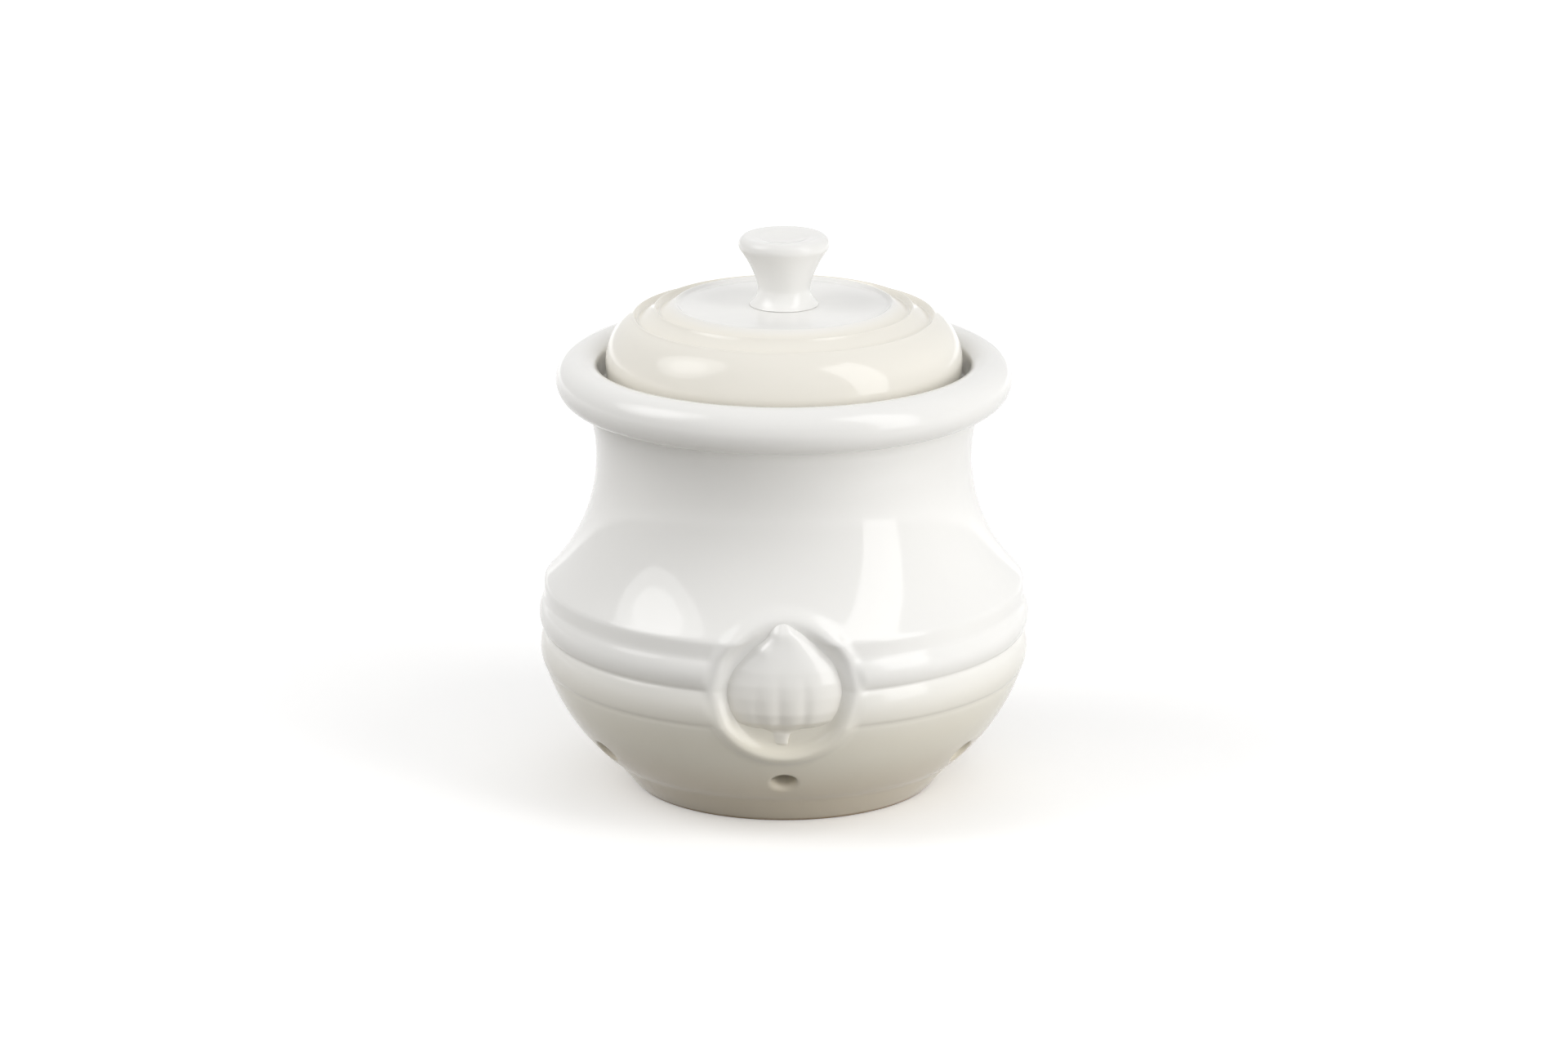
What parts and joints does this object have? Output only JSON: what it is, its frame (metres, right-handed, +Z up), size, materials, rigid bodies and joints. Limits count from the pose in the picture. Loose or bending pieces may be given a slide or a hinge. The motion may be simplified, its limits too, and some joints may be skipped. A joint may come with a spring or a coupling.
{
  "type": "garlic keeper",
  "caption": "Bellied glazed stoneware pot with a rolled rim, two ridges, a garlic relief and low vent holes, closed by a loose sunken lid with a flared knob.",
  "frame": {"origin": "centre of the foot, on the surface that the pot stands on", "axes": "+Z up along the pot's axis, -Y towards the side with the garlic relief, +X to the right seen from that side"},
  "size_m": [0.1278, 0.1277, 0.146],
  "materials": {
    "crock_glaze": "gloss white glaze, running to cream on the lower belly, bare clay under the foot",
    "relief_glaze": "gloss white glaze, thinner on the high places",
    "lid_glaze": "gloss glaze, white on the centre plate and cream on the shoulder and side",
    "knob_glaze": "gloss white glaze"
  },
  "bodies": {
    "pot": {"crock": "crock_glaze", "garlic_relief": "relief_glaze"},
    "cover": {"lid": "lid_glaze", "lid_knob": "knob_glaze"}
  },
  "joints": [
    {"name": "lid_lift", "type": "slide", "parent": "pot", "child": "cover", "axis": [0, 0, 1], "range_m": [0, 0.06]}
  ]
}
